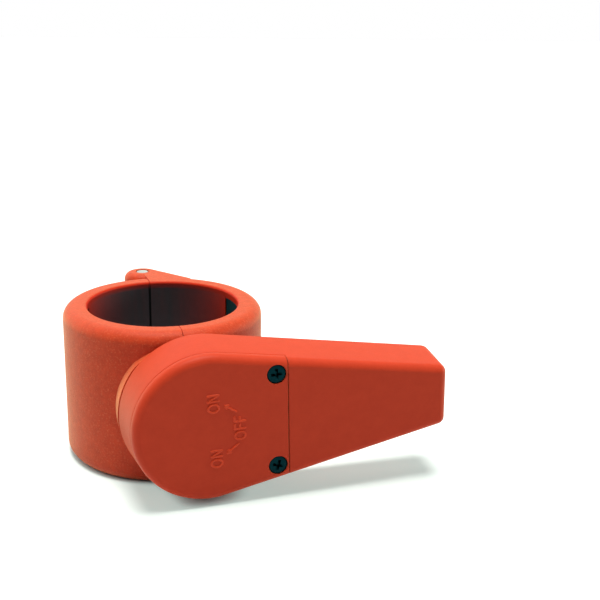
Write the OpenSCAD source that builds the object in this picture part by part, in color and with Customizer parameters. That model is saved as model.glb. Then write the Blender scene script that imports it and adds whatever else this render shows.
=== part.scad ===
// Quick-lock barbell collar: two hinged half-ring jaws, closed by a lever that turns
// on a radial pivot. The lever carries a cam plate whose spiral slot draws in a peg on
// the second jaw. The origin is the middle of the bore, whose axis is Z. The hinge is on
// the +Y side, and the lever lies on the -Y side with its arm along +X.

/* [Ring] */
// Bore when the collar is locked on a bar sleeve
bore_d = 50; // [46:0.5:54]
// Wall of the ring
wall_t = 8; // [7.2:0.1:9.5]
// Height of the ring along the bore
ring_h = 50.8; // [46:0.1:56]
// Rounding of the two outer rims
rim_round = 4; // [2:0.5:5]
// Rounding of the two bore edges
bore_round = 1; // [0.5:0.1:1.5]
// Gap between the closed jaws
split_gap = 0.6; // [0.4:0.1:1]

/* [Hinge] */
// Hinge pin diameter
pin_d = 4.8; // [4:0.1:5.5]
// Diameter of the hinge barrel
barrel_d = 13.2; // [11.8:0.2:14.6]
// Rounding of the two outer ends of the hinge
hinge_round = 2.8; // [1.5:0.1:3.2]
// Gap between the barrel and the outside of the ring
hinge_gap = 0.4; // [0.3:0.1:1]
// Length of the middle knuckle
knuckle_h = 25; // [18:1:30]
// Angle from the hinge at which a leaf meets the ring
leaf_angle = 30; // [26:1:36]

/* [Grip pads] */
// Angle that a pad covers
pad_angle = 38.6; // [30:0.2:46]
// Thickness of a pad
pad_t = 2.2; // [1.5:0.1:3]
// Distance of a pad from the end faces
pad_end = 2.6; // [2:0.1:6]

/* [Lever] */
// Thickness of the lever from its back to its face
lever_t = 17.3; // [15.5:0.1:20]
// Length from the middle of the round head to the tip
lever_len = 79.5; // [71:0.1:90]
// Width of the back of the lever at the tip
tip_w = 24; // [20:0.5:30]
// Rounding of the two corners of the tip
tip_round = 4.8; // [4.6:0.1:7]
// Lean of the side walls, sideways travel for each millimetre of height
lever_draft = 0.1; // [0.04:0.01:0.11]
// Rounding of the front edge
edge_round = 2.7; // [1.8:0.1:2.8]
// Distance of the round head from the end faces of the ring
head_inset = 0.4; // [0.2:0.1:1]
// Distance of the middle of the head from the pivot, towards the tip
head_shift = 4.2; // [3.6:0.1:4.8]
// Distance of the edge of the boss under the head from the edge of the head
boss_inset = 0.5; // [0.3:0.1:1]
// Distance of the round of the boss from the end faces of the ring
boss_drop = 3.5; // [3:0.1:5]
// Angle of the arm above level when the collar is locked
lever_rest = 1.9; // [0:0.1:4]
// Wall round the hollow head
head_wall = 2.5; // [2:0.1:2.8]
// Thickness of the floor that turns on the pivot
floor_t = 3.5; // [3.1:0.1:4]
// Thickness of the front skin of the arm
arm_skin = 3; // [2:0.1:4]

/* [Cover] */
// Distance of the straight seam from the middle of the head
cover_len = 24.5; // [22:0.1:27]
// Height of the edge of the cover
cover_t = 3.5; // [3:0.1:4]
// Distance of the cover screws from the straight seam
screw_inset = 3.7; // [3.3:0.1:4.2]
// Distance of the cover screws from the middle line of the lever
screw_across = 15.1; // [13.5:0.1:16]

/* [Mechanism] */
// Angle through which the second jaw opens
open_angle = 2.2; // [1.2:0.1:2.5]
// Space between the bush and the wall of the head when locked
peg_space = 1.72; // [1.5:0.02:2.2]
// Drive peg diameter
peg_d = 4.5; // [3.5:0.1:5]
// Diameter of the hard bush on the peg
bush_d = 6.4; // [5.8:0.1:7]
// Diameter of the shoulder that the lever turns on
shoulder_d = 6; // [5.4:0.1:6.6]
// Wall between the pocket of the pivot lug and the drive peg
lug_space = 2.35; // [2:0.05:2.8]
// Thickness of the cam plate
plate_t = 2; // [1.5:0.1:2.5]

/* [Hidden] */

// Clearances
running_fit = 0.05;
seat_fit = 0.02;
face_gap = 0.3;
cam_fit = 0.15;
floor_fit = 0.45;
cover_gap = 0.2;
pad_gap = 0.15;
lug_clear = 0.4;
touch = 0.02;
cut = 1;

// Ring and hinge
bore_r = bore_d / 2;
ring_r = bore_r + wall_t;
half_h = ring_h / 2;
pin_r = pin_d / 2;
barrel_r = barrel_d / 2;
hinge_y = ring_r + hinge_gap + barrel_r;
pin_inset = 0.1;
pin_chamfer = 0.5;
end_knuckle_h = (ring_h - knuckle_h) / 2 - face_gap;

// Straight leaf edge: from its foot on the ring, tangent to the barrel
root_r = ring_r - rim_round - cut;
leaf_foot = ring_r * [sin(leaf_angle), cos(leaf_angle)];
leaf_root = root_r * [sin(leaf_angle), cos(leaf_angle)];
to_pin = [0, hinge_y] - leaf_foot;
leaf_dir = atan2(to_pin[1], to_pin[0]) - asin(barrel_r / norm(to_pin));
leaf_top = [0, hinge_y] + barrel_r * [sin(leaf_dir), -cos(leaf_dir)];
leaf_len = norm(leaf_top - leaf_foot);

// Lever, measured outwards from the bore axis
lever_back = ring_r + face_gap;
seam_w = lever_t - cover_t;
head_r = half_h - head_inset;
boss_r = head_r - boss_inset;
boss_round = half_h - boss_drop;
cavity_r = head_r - lever_draft * seam_w - head_wall;
tip_x = head_shift + lever_len - tip_round;
tip_y = tip_w / 2 - tip_round;
seam_x = head_shift + cover_len;
screw_x = seam_x - screw_inset;

// Side line of the arm at the back, tangent to the head and to a tip corner
to_corner = [tip_x - head_shift, tip_y];
side_rise = asin((head_r - tip_round) / norm(to_corner)) - atan2(to_corner[1], to_corner[0]);
function side_y(x) = (head_r - (x - head_shift) * sin(side_rise)) / cos(side_rise);

// Ribbed back of the arm
arm_wall = 2.6;
rib_t = 1.8;
cell_rows = 5;
cell_columns = 3;
cell_setback = 3;
cells_from = seam_x + cell_setback;
cells_to = head_shift + lever_len - arm_wall - lever_draft * lever_t;
cell_pitch = (cells_to - cells_from + rib_t) / cell_rows;

// Drive peg, pressed into the second jaw
peg_reach = cavity_r - head_shift - bush_d / 2 - peg_space;
peg_floor = 1;
bush_drop = 0.6;
peg_seat = wall_t - peg_floor;

// Pivot stack
sleeve_t = 1.5;
sleeve_r = shoulder_d / 2 + sleeve_t;
washer_lap = 2.3;
washer_r = sleeve_r + washer_lap;
washer_t = 1;
thrust_t = 1;
thrust_seat = thrust_t - face_gap + running_fit;
plate_w = floor_t + touch;
stack_w = plate_w + plate_t;
bolt_head_r = washer_r - 1;
bolt_head_h = 3.2;
socket_r = 2.3;
socket_h = 2;

// Lug of the first jaw that carries the pivot bolt in its insert
lug_r = peg_reach - peg_d / 2 - lug_space - lug_clear;
lug_floor = 2.6;
lug_back = bore_r + lug_floor;
insert_r = 3.4;
insert_floor = 0.4;
insert_len = ring_r - lug_back - insert_floor;
thread_r = 2.4;

// Cam: the slot follows the peg from locked to open and on to locked again
turn_range = 90 - lever_rest;
plate_reach = hinge_y + lever_back + plate_w + plate_t / 2;
peg_rise = plate_reach * sin(open_angle) - peg_reach * (1 - cos(open_angle));
cam_lead = atan(peg_rise / (peg_reach * turn_range * PI / 180));
cam_steps = 28;
function cam_r(phi) = peg_reach + peg_rise * (1 - abs(phi - 90) / turn_range);
function cam_at(phi, side) = (cam_r(phi) + side / cos(cam_lead)) * [cos(phi), sin(phi)];
function cam_phi(i) = 90 + turn_range * (1 - 2 * i / cam_steps);
peg_top = lever_back + stack_w;
bush_from = lever_back + floor_t - bush_drop;

// Fasteners
cam_screw_out = 0.5;
cam_screw_r = peg_reach + cam_screw_out;
cam_screw_angles = [-35, -90, -145];
cam_thread_r = 1.2;
cam_head_r = 2.4;
cam_head_t = 1.6;
cover_screw_r = 1.45;
cover_head_r = 2.8;
cover_head_t = 1.7;
cover_head_drop = 0.15;
cover_screw_len = 9;
cross_w = 0.8;
cross_len = 3.4;
cross_h = 1.1;

fine = 96;
hull_fine = 48;
arc_steps = 4;

plastic = "#d6482c";
steel = "#c9ccce";
black = "#1d1f20";
brass = "#b99a55";
rubber = "#17191a";
nylon = "#e8e4d8";

// Places with the pivot axis along local Z, pointing outwards
module on_pivot() {
    rotate([90, 0, 0]) children();
}

// Places in the lever: local X along the arm, local Z from the back to the face
module on_lever() {
    on_pivot() translate([0, 0, lever_back]) rotate([0, 0, lever_rest]) children();
}

// Material outside a rounded corner at [x, y], whose body lies towards dx, dy
module corner_waste(x, y, dx, dy, r) {
    translate([x + dx * r, y + dy * r]) difference() {
        translate([dx > 0 ? -r - cut : 0, dy > 0 ? -r - cut : 0]) square(r + cut);
        circle(r, $fn = fine);
    }
}

module ring_profile() {
    difference() {
        translate([bore_r, -half_h]) square([wall_t, ring_h]);
        for (s = [-1, 1]) {
            corner_waste(ring_r, s * half_h, -1, -s, rim_round);
            corner_waste(bore_r, s * half_h, 1, -s, bore_round);
        }
    }
}

// Boss that the lever lies on, clear of the bore: a round about the pivot, trimmed at its sides
// to what the head covers in both locked places
module pivot_boss() {
    difference() {
        on_pivot() translate([0, 0, bore_r / 2]) intersection() {
            cylinder(r = boss_round, h = ring_r - bore_r / 2, $fn = fine);
            intersection_for (s = [-1, 1]) translate([s * head_shift, 0, 0])
                cylinder(r = boss_r, h = ring_r - bore_r / 2, $fn = fine);
        }
        cylinder(r = bore_r, h = ring_h + 2 * cut, center = true, $fn = fine);
    }
}

// Knuckle about the pin axis from z up, with its edge rounded at the outer end s
module knuckle(z, h, s) {
    translate([0, hinge_y, 0]) rotate_extrude($fn = fine) difference() {
        translate([0, z]) square([barrel_r, h]);
        if (s != 0) corner_waste(barrel_r, s * half_h, -1, -s, hinge_round);
    }
}

// Leaf on the +X side of the hinge with its knuckle
module hinge_leaf(z, h, s) {
    knuckle(z, h, s);
    difference() {
        translate([0, 0, z]) linear_extrude(h)
            polygon([[split_gap / 2, root_r], leaf_root, leaf_foot, leaf_top, [0, hinge_y],
                     [split_gap / 2, hinge_y - barrel_r]]);
        if (s != 0) translate(leaf_foot) rotate([0, 0, leaf_dir]) rotate([90, 0, 90])
            translate([0, 0, -leaf_len]) linear_extrude(2 * leaf_len + cut)
                corner_waste(0, s * half_h, 1, -s, hinge_round);
    }
}

module pin_hole(r) {
    translate([0, hinge_y, 0]) cylinder(r = r, h = ring_h + 2 * cut, center = true, $fn = fine);
}

// Curved slab on the +X side of the bore wall
module pad_slab(r_in, r_out, angle, end) {
    rotate([0, 0, -angle / 2]) rotate_extrude(angle = angle, $fn = fine)
        translate([r_in, end - half_h]) square([r_out - r_in, ring_h - 2 * end]);
}

// Half of the ring with its half of the boss, on the +X side
module half_ring() {
    difference() {
        union() {
            rotate_extrude($fn = fine) ring_profile();
            pivot_boss();
        }
        translate([split_gap / 2 - 2 * ring_r, -2 * ring_r, -ring_h])
            cube([2 * ring_r, 4 * ring_r, 2 * ring_h]);
        pad_slab(bore_r - cut, bore_r + pad_t, pad_angle, pad_end);
    }
}

module jaw_right() {
    color(plastic) difference() {
        union() {
            half_ring();
            hinge_leaf(-half_h, end_knuckle_h, -1);
            hinge_leaf(half_h - end_knuckle_h, end_knuckle_h, 1);
            on_pivot() translate([0, 0, lug_back]) cylinder(r = lug_r, h = ring_r - lug_back, $fn = fine);
        }
        pin_hole(pin_r + seat_fit);
        on_pivot() translate([0, 0, ring_r - insert_len - touch])
            cylinder(r = insert_r + seat_fit, h = insert_len + cut, $fn = fine);
    }
}

module jaw_left() {
    color(plastic) difference() {
        union() {
            mirror([1, 0, 0]) half_ring();
            mirror([1, 0, 0]) hinge_leaf(-knuckle_h / 2, knuckle_h, 0);
        }
        pin_hole(pin_r + running_fit);
        on_pivot() translate([0, 0, lug_back - lug_clear])
            cylinder(r = lug_r + lug_clear, h = ring_r, $fn = fine);
        on_pivot() translate([-peg_reach, 0, ring_r - peg_seat - touch])
            cylinder(r = peg_d / 2 + seat_fit, h = peg_seat + cut, $fn = fine);
    }
}

module hinge_pin() {
    h = ring_h - 2 * pin_inset;
    color(steel) translate([0, hinge_y, -h / 2]) rotate_extrude($fn = fine)
        polygon([[0, 0], [pin_r - pin_chamfer, 0], [pin_r, pin_chamfer], [pin_r, h - pin_chamfer],
                 [pin_r - pin_chamfer, h], [0, h]]);
}

module grip_pad() {
    color(rubber)
        pad_slab(bore_r + touch, bore_r + pad_t - touch, pad_angle - 2 * pad_gap, pad_end + pad_gap);
}

module grip_pad_right() {
    grip_pad();
}

module grip_pad_left() {
    mirror([1, 0, 0]) grip_pad();
}

module pivot_insert() {
    color(brass) on_pivot() translate([0, 0, ring_r - insert_len]) difference() {
        cylinder(r = insert_r, h = insert_len - touch, $fn = fine);
        translate([0, 0, -cut]) cylinder(r = thread_r + seat_fit, h = insert_len + 2 * cut, $fn = fine);
    }
}

// Shoulder bolt with a hexagon socket
module pivot_bolt() {
    shoulder_h = face_gap + stack_w + washer_t + 2 * running_fit;
    color(steel) on_pivot() translate([0, 0, ring_r]) difference() {
        union() {
            translate([0, 0, touch - insert_len]) cylinder(r = thread_r, h = insert_len, $fn = fine);
            cylinder(r = shoulder_d / 2, h = shoulder_h, $fn = fine);
            translate([0, 0, shoulder_h]) cylinder(r = bolt_head_r, h = bolt_head_h, $fn = fine);
        }
        translate([0, 0, shoulder_h + bolt_head_h - socket_h])
            cylinder(r = socket_r, h = socket_h + cut, $fn = 6);
    }
}

module washer(r_in, r_out, h) {
    difference() {
        cylinder(r = r_out, h = h, $fn = fine);
        translate([0, 0, -cut]) cylinder(r = r_in, h = h + 2 * cut, $fn = fine);
    }
}

module pivot_washer() {
    color(steel) on_pivot() translate([0, 0, lever_back + stack_w + running_fit])
        washer(shoulder_d / 2 + running_fit, washer_r, washer_t);
}

module thrust_washer() {
    color(nylon) on_pivot() translate([0, 0, ring_r + touch])
        washer(shoulder_d / 2 + running_fit, washer_r, thrust_t - touch);
}

// Plain bearing pressed into the floor and the cam plate
module pivot_sleeve() {
    color(brass) on_lever() translate([0, 0, thrust_seat])
        washer(shoulder_d / 2 + running_fit, sleeve_r, stack_w - thrust_seat);
}

// One round, leaning-walled end of the lever with a rounded front edge
module lever_end(r) {
    side = lever_t - edge_round;
    face_r = r - lever_draft * side - edge_round;
    rotate_extrude($fn = hull_fine) polygon(concat(
        [[0, 0], [r, 0]],
        [for (i = [0 : arc_steps]) let (a = 90 * i / arc_steps)
            [face_r + edge_round * cos(a), side + edge_round * sin(a)]],
        [[0, lever_t]]));
}

module lever_outside() {
    hull() {
        translate([head_shift, 0, 0]) lever_end(head_r);
        for (s = [-1, 1]) translate([tip_x, s * tip_y, 0]) lever_end(tip_round);
    }
}

// Slot that the peg runs in, half_w to each side of its path
module cam_slot(half_w) {
    polygon(concat([for (i = [0 : cam_steps]) cam_at(cam_phi(i), half_w)],
                   [for (i = [cam_steps : -1 : 0]) cam_at(cam_phi(i), -half_w)]));
    for (i = [0, cam_steps]) translate(cam_at(cam_phi(i), 0)) circle(half_w, $fn = fine);
}

// Pocket in the back of the arm, bounded by ribs in both directions
module arm_cell(row, column) {
    x0 = cells_from + row * cell_pitch;
    x1 = x0 + cell_pitch - rib_t;
    function edge(x, k) = (side_y(x) - arm_wall + rib_t / 2) * (2 * k / cell_columns - 1);
    polygon([[x0, edge(x0, column) + rib_t / 2], [x1, edge(x1, column) + rib_t / 2],
             [x1, edge(x1, column + 1) - rib_t / 2], [x0, edge(x0, column + 1) - rib_t / 2]]);
}

module at_cover_screws() {
    for (s = [-1, 1]) translate([screw_x, s * screw_across, 0]) children();
}

module at_cam_screws() {
    for (a = cam_screw_angles) rotate([0, 0, a]) translate([cam_screw_r, 0, 0]) children();
}

module lever_body() {
    reach = 2 * lever_len;
    color(plastic) on_lever() difference() {
        lever_outside();
        translate([seam_x - reach, -reach / 2, seam_w]) cube([reach, reach, lever_t]);
        translate([head_shift, 0, floor_t]) cylinder(r = cavity_r, h = lever_t, $fn = fine);
        translate([0, 0, -cut]) cylinder(r = sleeve_r + seat_fit, h = floor_t + 2 * cut, $fn = fine);
        translate([0, 0, -cut]) cylinder(r = washer_r + face_gap, h = thrust_seat + cut, $fn = fine);
        translate([0, 0, -cut]) linear_extrude(floor_t + 2 * cut) cam_slot(bush_d / 2 + floor_fit);
        at_cover_screws() translate([0, 0, seam_w - cover_screw_len])
            cylinder(r = cover_screw_r + seat_fit, h = cover_screw_len + cut, $fn = fine);
        at_cam_screws() translate([0, 0, -cut])
            cylinder(r = cam_thread_r + seat_fit, h = floor_t + 2 * cut, $fn = fine);
        translate([0, 0, -cut]) linear_extrude(lever_t - arm_skin + cut)
            for (row = [0 : cell_rows - 1], column = [0 : cell_columns - 1]) arm_cell(row, column);
    }
}

module cam_plate() {
    color(steel) on_lever() translate([0, 0, plate_w]) linear_extrude(plate_t) difference() {
        translate([head_shift, 0]) circle(cavity_r - face_gap, $fn = fine);
        circle(sleeve_r + seat_fit, $fn = fine);
        cam_slot(bush_d / 2 + cam_fit);
        at_cam_screws() circle(cam_thread_r + cam_fit, $fn = fine);
    }
}

module cam_screws() {
    color(steel) on_lever() at_cam_screws() {
        translate([0, 0, face_gap]) cylinder(r = cam_thread_r, h = stack_w, $fn = fine);
        translate([0, 0, stack_w + touch]) cylinder(r = cam_head_r, h = cam_head_t, $fn = fine);
    }
}

module lever_cover() {
    reach = 2 * lever_len;
    lip_t = 1.4;
    lip_h = 2;
    head_seat = cover_head_t + cover_head_drop;
    color(plastic) on_lever() difference() {
        union() {
            intersection() {
                lever_outside();
                translate([seam_x - cover_gap - reach, -reach / 2, seam_w + touch])
                    cube([reach, reach, lever_t]);
            }
            translate([head_shift, 0, seam_w - lip_h])
                washer(cavity_r - face_gap - lip_t, cavity_r - face_gap, lip_h + 2 * touch);
        }
        at_cover_screws() translate([0, 0, seam_w - cut])
            cylinder(r = cover_screw_r + cam_fit, h = lever_t, $fn = fine);
        at_cover_screws() translate([0, 0, lever_t - head_seat])
            cylinder(r = cover_head_r + cam_fit, h = head_seat + cut, $fn = fine);
    }
}

// Black screws with a cross recess
module cover_screws() {
    top = lever_t - cover_head_drop;
    color(black) on_lever() at_cover_screws() difference() {
        union() {
            translate([0, 0, top - cover_head_t + touch])
                cylinder(r = cover_head_r, h = cover_head_t - touch, $fn = fine);
            translate([0, 0, top - cover_head_t - cover_screw_len])
                cylinder(r = cover_screw_r, h = cover_screw_len + 2 * touch, $fn = fine);
        }
        for (a = [0, 90]) translate([0, 0, top - cross_h]) rotate([0, 0, a])
            translate([-cross_len / 2, -cross_w / 2, 0]) cube([cross_len, cross_w, cross_h + cut]);
    }
}

module drive_peg() {
    color(steel) on_pivot() translate([-peg_reach, 0, ring_r - peg_seat])
        cylinder(r = peg_d / 2, h = peg_top - ring_r + peg_seat, $fn = fine);
}

module peg_bush() {
    color(steel) on_pivot() translate([-peg_reach, 0, bush_from])
        washer(peg_d / 2 + seat_fit, bush_d / 2, peg_top - bush_from - touch);
}

jaw_right();
jaw_left();
hinge_pin();
grip_pad_right();
grip_pad_left();
pivot_insert();
pivot_bolt();
pivot_washer();
thrust_washer();
pivot_sleeve();
lever_body();
cam_plate();
cam_screws();
lever_cover();
cover_screws();
drive_peg();
peg_bush();
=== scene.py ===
# %% [markdown]
# # A quick-lock barbell collar
# The collar is a ring of two hinged plastic jaws with rubber grip pads in its bore, and a
# lever on its front that turns to draw the jaws together. The solids were made in CAD and
# packed, so the first step loads them. The dressed model has to stay inside it.

# %% Load the frame
import math

import bmesh
import bpy
from mathutils import Matrix, Quaternion, Vector


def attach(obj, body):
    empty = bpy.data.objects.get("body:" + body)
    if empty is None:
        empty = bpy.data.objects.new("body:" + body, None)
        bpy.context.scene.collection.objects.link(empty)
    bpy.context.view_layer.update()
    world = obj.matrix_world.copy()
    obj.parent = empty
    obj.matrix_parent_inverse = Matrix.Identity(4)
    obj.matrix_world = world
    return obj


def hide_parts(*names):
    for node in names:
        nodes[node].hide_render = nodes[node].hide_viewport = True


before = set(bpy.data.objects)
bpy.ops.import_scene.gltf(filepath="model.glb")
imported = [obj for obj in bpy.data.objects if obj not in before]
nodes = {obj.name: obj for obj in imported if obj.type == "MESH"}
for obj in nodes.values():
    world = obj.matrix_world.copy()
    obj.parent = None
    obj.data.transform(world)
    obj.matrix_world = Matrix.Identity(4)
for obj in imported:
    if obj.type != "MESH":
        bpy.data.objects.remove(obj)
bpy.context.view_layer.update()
scene = bpy.context.scene
scene.view_settings.view_transform = "Standard"
MM = 0.001

# %% [markdown]
# ## The camera
# The picture was taken with a short telephoto lens from a little above the collar and to
# its left. A camera could be placed by eye, but the ring, the bore and the lever are
# circles and straight edges of known size, so its place, aim, roll and focal length were
# worked out from where those fall in the frame.

# %% Camera
LENS_MM, SENSOR_MM = 59.611, 36.0
EYE_MM = Vector((-59.738, -316.022, 125.135))
AIM_MM = Vector((41.7215, -20.0, 28.905))
ROLL = 0.0233

camera_data = bpy.data.cameras.new("camera")
camera_data.sensor_width, camera_data.lens = SENSOR_MM, LENS_MM
camera_data.clip_start, camera_data.clip_end = 0.01, 20
camera = bpy.data.objects.new("camera", camera_data)
scene.collection.objects.link(camera)
camera.rotation_mode = "QUATERNION"
camera.location = EYE_MM * MM
camera.rotation_quaternion = ((AIM_MM - EYE_MM).to_track_quat("-Z", "Y")
                              @ Quaternion((0, 0, 1), ROLL))
scene.camera = camera
print("camera is", round((AIM_MM - EYE_MM).length), "mm from its aim")

# %% [markdown]
# ## Nodes and colours
# Every finish below is a small tree of shader nodes. One function adds a node, gives it
# its settings and links it up. Colours are written as the hex values a paint chart would
# give, so another function turns them into the linear light that the shader works in.

# %% Node and colour helpers
def linear(hex_colour):
    """Linear RGBA of an sRGB colour such as '#d9472b'."""
    channels = [int(hex_colour[i:i + 2], 16) / 255 for i in (1, 3, 5)]
    return tuple(c / 12.92 if c <= 0.04045 else ((c + 0.055) / 1.055) ** 2.4
                 for c in channels) + (1.0,)


def add(tree, kind, sockets=None, stops=(), **settings):
    """Adds a node; a socket takes a plain value, or a link where it is given an output.
    stops are the (place, colour) pairs of a colour ramp."""
    made = tree.nodes.new(kind)
    for stop, (at, colour) in enumerate(stops):
        made.color_ramp.elements[stop].position = at
        made.color_ramp.elements[stop].color = linear(colour)
    for name, value in settings.items():
        setattr(made, name, value)
    for name, value in (sockets or {}).items():
        if isinstance(value, bpy.types.NodeSocket):
            tree.links.new(value, made.inputs[name])
        else:
            made.inputs[name].default_value = value
    return made


def new_material(name):
    """An empty material, its tree and its output node."""
    material = bpy.data.materials.new(name)
    material.use_nodes = True
    material.node_tree.nodes.clear()
    return material, material.node_tree, add(material.node_tree, "ShaderNodeOutputMaterial")


def per_mm(size):
    """Texture scale that gives features of about that size in millimetres."""
    return 1 / (size * MM)


print("plastic red in linear light:", [round(c, 3) for c in linear("#d9472b")[:3]])

# %% [markdown]
# ## Moulded ABS
# The jaws and the lever are injection-moulded ABS, coloured through in an orange red. The
# jaws came from a spark-eroded tool, which leaves a dry matt grain, and the lever from a
# finer one, which leaves a satin. In the bore, shade is painted into the colour: a dull
# grey that deepens down from the rims, and a black painted shadow in the split. A picture
# of such a skin would bring the light it was taken in along with it, so the skin is made of
# two noises: a fine one for the grain, in the bump and the gloss, and a broad one for the
# slight clouding of the colour. A real spark grain is about 0.1 mm across and would vanish
# in the picture, so it is drawn coarser. Matt plastic turns paler at flat angles, which a little
# sheen gives.

# %% Where shade is painted into the bore
# Painted shade in the bore, each from where it starts to where it is full: the grey by distance in
# front of or behind the axis, both by height from the middle, and the black by distance from the
# split.
BORE_SHADE_Y, BORE_SHADE_Z, SPLIT_SHADE_X = (5.0, 24.0), (24.9, 22.8), (0.5, 0.28)
STREAK_W, STREAK_PULL = 1.4, 0.06


def painted_shade_shares(tree, spot):
    """Shares of a spot in the bore that take painted shade in grey and in black. Neither is
    found at the rims. The grey deepens down the bore, is least at the sides, where the pads
    are, and most in front and behind, and is streaked along the bore; the black is painted
    shadow in the split."""
    far = add(tree, "ShaderNodeVectorMath", {0: spot}, operation="ABSOLUTE")
    away = add(tree, "ShaderNodeSeparateXYZ", {0: far.outputs[0]})
    drawn = add(tree, "ShaderNodeMapping", {"Vector": spot, "Scale": (1, 1, STREAK_PULL)})
    streaks = add(tree, "ShaderNodeTexNoise",
                  {"Vector": drawn.outputs[0], "Scale": per_mm(STREAK_W), "Detail": 4.0})
    streaked = add(tree, "ShaderNodeMapRange",
                   {"Value": streaks.outputs["Fac"], "From Min": 0.3, "From Max": 0.7,
                    "To Min": 0.96})
    around = add(tree, "ShaderNodeMapRange",
                 {"Value": away.outputs["Y"], "From Min": BORE_SHADE_Y[0] * MM,
                  "From Max": BORE_SHADE_Y[1] * MM, "To Max": streaked.outputs["Result"]})
    joint = add(tree, "ShaderNodeMapRange",
                {"Value": away.outputs["X"], "From Min": SPLIT_SHADE_X[0] * MM,
                 "From Max": SPLIT_SHADE_X[1] * MM})
    below = add(tree, "ShaderNodeMapRange",
                {"Value": away.outputs["Z"], "From Min": BORE_SHADE_Z[0] * MM,
                 "From Max": BORE_SHADE_Z[1] * MM})
    return [add(tree, "ShaderNodeMath", {0: share.outputs["Result"], 1: below.outputs["Result"]},
                operation="MULTIPLY").outputs[0] for share in (around, joint)]


print("the bore is darkest", BORE_SHADE_Y[1], "mm in front of its axis and behind it")

# %% Moulded ABS
ABS_IOR = 1.53
# Black painted shadow in the split between the jaws.
SPLIT_SHADE = "#050c0e"
HAZE_TINT = "#ffcf95"


def moulded_abs(name, light, dark, roughness, glint, haze, grain, grain_depth, mottle,
                speck=None, bore_shade=None):
    """ABS with a moulded grain of that size and depth in mm, mottled between two colours.
    speck is the colour of single bright grains, bore_shade that of the shade painted into the
    bore."""
    material, tree, out = new_material(name)
    spot = add(tree, "ShaderNodeTexCoord").outputs["Object"]
    clouds = add(tree, "ShaderNodeTexNoise",
                 {"Vector": spot, "Scale": per_mm(mottle), "Detail": 6.0, "Roughness": 0.75})
    spark = add(tree, "ShaderNodeTexNoise",
                {"Vector": spot, "Scale": per_mm(grain), "Detail": 3.0, "Roughness": 0.65})
    tint = add(tree, "ShaderNodeValToRGB", {"Fac": clouds.outputs["Fac"]},
               stops=((0.35, dark), (0.65, light)))
    colour = tint.outputs["Color"]
    if speck:
        bright = add(tree, "ShaderNodeMapRange", {"Value": spark.outputs["Fac"], "From Min": 0.54,
                                                  "From Max": 0.74, "To Max": 0.6})
        colour = add(tree, "ShaderNodeMix", {0: bright.outputs["Result"], 6: colour,
                                             7: linear(speck)}, data_type="RGBA").outputs[2]
    # Painted shade: grey deeper in the bore, and black in the split.
    if bore_shade:
        for share, tone in zip(painted_shade_shares(tree, spot), (bore_shade, SPLIT_SHADE)):
            colour = add(tree, "ShaderNodeMix", {0: share, 6: colour, 7: linear(tone)},
                         data_type="RGBA").outputs[2]
    gloss = add(tree, "ShaderNodeMapRange",
                {"Value": spark.outputs["Fac"], "From Min": 0.3, "From Max": 0.7,
                 "To Min": roughness - 0.05, "To Max": roughness + 0.05})
    bump = add(tree, "ShaderNodeBump",
               {"Height": spark.outputs["Fac"], "Strength": 0.6, "Distance": grain_depth * MM})
    shader = add(tree, "ShaderNodeBsdfPrincipled",
                 {"Base Color": colour, "Roughness": gloss.outputs["Result"], "IOR": ABS_IOR,
                  "Specular IOR Level": glint, "Sheen Weight": haze, "Sheen Roughness": 0.45,
                  "Sheen Tint": linear(HAZE_TINT), "Normal": bump.outputs["Normal"]})
    tree.links.new(shader.outputs["BSDF"], out.inputs["Surface"])
    return material


print("ABS bends light by", ABS_IOR)

# %% The four finishes of the ABS
# Dry and grainy: pale at flat angles, with single bright points.
abs_spark = moulded_abs("moulded_ABS_spark_grain", "#d04425", "#be3b20", roughness=0.5,
                        glint=0.12, haze=0.48, grain=0.6, grain_depth=0.16, mottle=2.5,
                        speck="#de6e4a")
# Smooth from the core of the tool: a deep red at the rims, with shade painted into the bore as a
# dull grey and into the split as black.
abs_bore_shade = moulded_abs("moulded_ABS_bore_painted_shade", "#d53012", "#c92b0f", roughness=0.5,
                       glint=0.1, haze=0.0, grain=0.6, grain_depth=0.08, mottle=2.5,
                       bore_shade="#505359")
# Even and soft: shades smoothly round the edges, with hardly a glint.
abs_satin = moulded_abs("moulded_ABS_satin", "#cb3f26", "#c53c24", roughness=0.45, glint=0.08,
                        haze=0.25, grain=0.45, grain_depth=0.04, mottle=4.0)
# Smoother than the satin, and a lighter colour as a painted highlight on the beads, so that the
# marks can be read.
abs_marks_painted_light = moulded_abs("moulded_ABS_polished_painted_highlight", "#dd4a29", "#d74627", roughness=0.34,
                           glint=0.12, haze=0.0, grain=0.45, grain_depth=0.02, mottle=4.0)
print("made", abs_spark.name, abs_bore_shade.name, abs_satin.name, abs_marks_painted_light.name)

# %% [markdown]
# ## Rubber and acetal
# The pads are moulded EPDM rubber: nearly black with a green cast, dull, with a faint bloom.
# A washer inside the head is white acetal, which looks waxy. Both could be one plain colour,
# but a flat black reads as a hole in the picture. A noise of about a millimetre in the
# rubber, and a broader one in the acetal, clouds the colour and dents the skin a little.

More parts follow.
